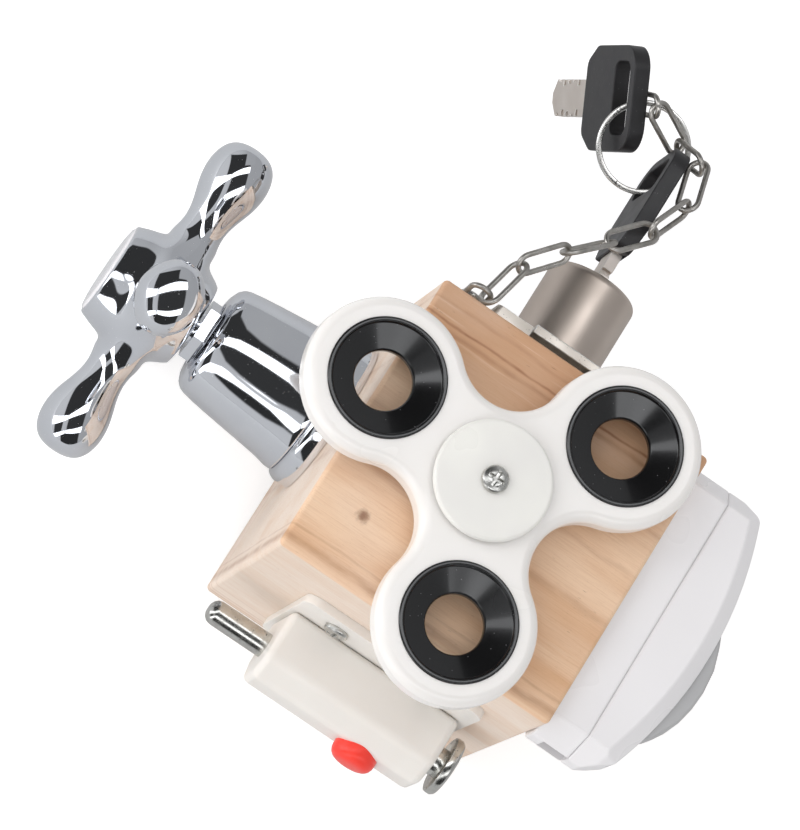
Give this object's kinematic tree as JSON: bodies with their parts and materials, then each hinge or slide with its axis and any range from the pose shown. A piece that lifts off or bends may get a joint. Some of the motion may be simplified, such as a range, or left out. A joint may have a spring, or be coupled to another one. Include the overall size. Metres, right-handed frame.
{
  "type": "wooden busy board cube",
  "caption": "Wooden play cube with a finger spinner, cross-handle tap, keyed lock with chain and spare key, rocker switch and bolt latch",
  "frame": {"origin": "middle of the cube's back face", "axes": "+Z towards the spinner, -X towards the tap, +X towards the switch, +Y towards the lock, -Y towards the latch"},
  "size_m": [0.1352, 0.1489, 0.0787],
  "materials": {
    "pine": "satin, sawn end grain",
    "white_plastic": "moulded gloss",
    "white_nylon": "moulded translucent nylon",
    "black_steel": "black coated steel",
    "bearing_steel": "ground",
    "chrome_plate": "bright plated",
    "brass_inside": "turned",
    "satin_nickel": "satin nickel",
    "zinc_plate": "pale zinc",
    "chain_steel": "dull steel with bright edges",
    "key_nickel": "nickel plated",
    "key_black": "moulded black",
    "rocker_grey": "moulded grey",
    "button_red": "moulded red",
    "screw_steel": "zinc plated",
    "spring_steel": "wire"
  },
  "bodies": {
    "cube": {"wood_block": "pine", "bearing_inner_race": "bearing_steel", "spinner_spacer": "white_plastic", "spinner_cap": "white_plastic", "spinner_screw": "screw_steel", "tap_flange": "chrome_plate", "tap_shroud": "chrome_plate", "tap_valve": "brass_inside", "tap_gland_nut": "chrome_plate", "lock_plate": "zinc_plate", "lock_case": "zinc_plate", "lock_cylinder": "satin_nickel", "lock_plate_screws": "screw_steel", "chain_link_0": "chain_steel", "chain_anchor_screw": "screw_steel", "switch_base": "white_plastic", "switch_cover": "white_plastic", "switch_pivot": "screw_steel", "switch_contacts": "brass_inside", "switch_screws": "screw_steel", "latch_flange": "white_nylon", "latch_body": "white_nylon", "latch_spring": "spring_steel", "latch_button_spring": "spring_steel", "latch_screws": "screw_steel"},
    "spinner": {"spinner_body": "white_plastic", "spinner_weight_1": "black_steel", "spinner_weight_2": "black_steel", "spinner_weight_3": "black_steel", "bearing_outer_race": "bearing_steel"},
    "ball_set": {"bearing_balls": "bearing_steel", "bearing_cage": "brass_inside"},
    "tap_grip": {"tap_spindle": "brass_inside", "tap_handle": "chrome_plate", "tap_button": "chrome_plate", "tap_handle_screw": "screw_steel"},
    "key_set": {"lock_plug": "satin_nickel", "lock_wafers": "brass_inside", "key_blade": "key_nickel", "key_head": "key_black"},
    "bolt": {"lock_bolt": "zinc_plate"},
    "chain_run": {"chain_link_1": "chain_steel", "chain_link_2": "chain_steel", "chain_link_3": "chain_steel", "chain_link_4": "chain_steel", "chain_link_5": "chain_steel", "chain_link_6": "chain_steel", "chain_link_7": "chain_steel"},
    "ring_set": {"split_ring": "key_nickel", "chain_link_8": "chain_steel", "chain_link_9": "chain_steel"},
    "spare_key": {"spare_key_blade": "key_nickel", "spare_key_head": "key_black"},
    "rocker": {"switch_rocker": "rocker_grey", "switch_moving_contact": "brass_inside"},
    "latch_pin": {"latch_bolt": "chrome_plate", "latch_knob": "chrome_plate", "latch_collar": "white_nylon"},
    "push": {"latch_button": "button_red"}
  },
  "joints": [
    {"name": "spinner_spin", "type": "hinge", "parent": "cube", "child": "spinner", "pos_m": [-0.0041, -0.0004, 0.0652], "axis": [0, 0, 1], "continuous": true},
    {"name": "ball_roll", "type": "hinge", "parent": "cube", "child": "ball_set", "pos_m": [-0.0041, -0.0004, 0.0652], "axis": [0, 0, 1], "continuous": true},
    {"name": "tap_turn", "type": "hinge", "parent": "cube", "child": "tap_grip", "pos_m": [-0.0706, 0.0043, 0.0275], "axis": [1, 0, 0], "range_deg": [-90, 0]},
    {"name": "key_turn", "type": "hinge", "parent": "cube", "child": "key_set", "pos_m": [-0.0025, 0.052, 0.0385], "axis": [0, 1, 0], "range_deg": [-45, 0]},
    {"name": "bolt_slide", "type": "slide", "parent": "cube", "child": "bolt", "axis": [0, 0, 1], "range_m": [0, 0.0032]},
    {"name": "chain_sway", "type": "hinge", "parent": "cube", "child": "chain_run", "pos_m": [-0.0212, 0.0314, 0.0581], "axis": [0.3095, 0.8938, -0.3244], "range_deg": [-9, 0]},
    {"name": "ring_rock", "type": "hinge", "parent": "key_set", "child": "ring_set", "pos_m": [-0.0025, 0.0854, 0.0385], "axis": [0, 0.8428, 0.5382], "range_deg": [-3, 3]},
    {"name": "spare_swing", "type": "hinge", "parent": "ring_set", "child": "spare_key", "pos_m": [-0.0157, 0.0872, 0.0353], "axis": [-0.4798, -0.8197, -0.3129], "range_deg": [-4, 4]},
    {"name": "rocker_tilt", "type": "hinge", "parent": "cube", "child": "rocker", "pos_m": [0.045, -0.006, 0.0478], "axis": [0, 0, 1], "range_deg": [-14, 0]},
    {"name": "latch_slide", "type": "slide", "parent": "cube", "child": "latch_pin", "axis": [1, 0, 0], "range_m": [0, 0.008], "stiffness_N_per_m": 250, "springref_m": -0.004, "deforming": ["latch_spring"]},
    {"name": "push_slide", "type": "slide", "parent": "cube", "child": "push", "axis": [0, 1, 0], "range_m": [0, 0.0012], "stiffness_N_per_m": 600, "springref_m": -0.001, "deforming": ["latch_button_spring"]}
  ],
  "couplings": [
    {"joint": "ball_roll", "follows": "spinner_spin", "ratio": 0.6333},
    {"joint": "key_turn", "follows": "bolt_slide", "rad_per_m": -245.44},
    {"joint": "chain_sway", "follows": "bolt_slide", "rad_per_m": -49.087}
  ]
}
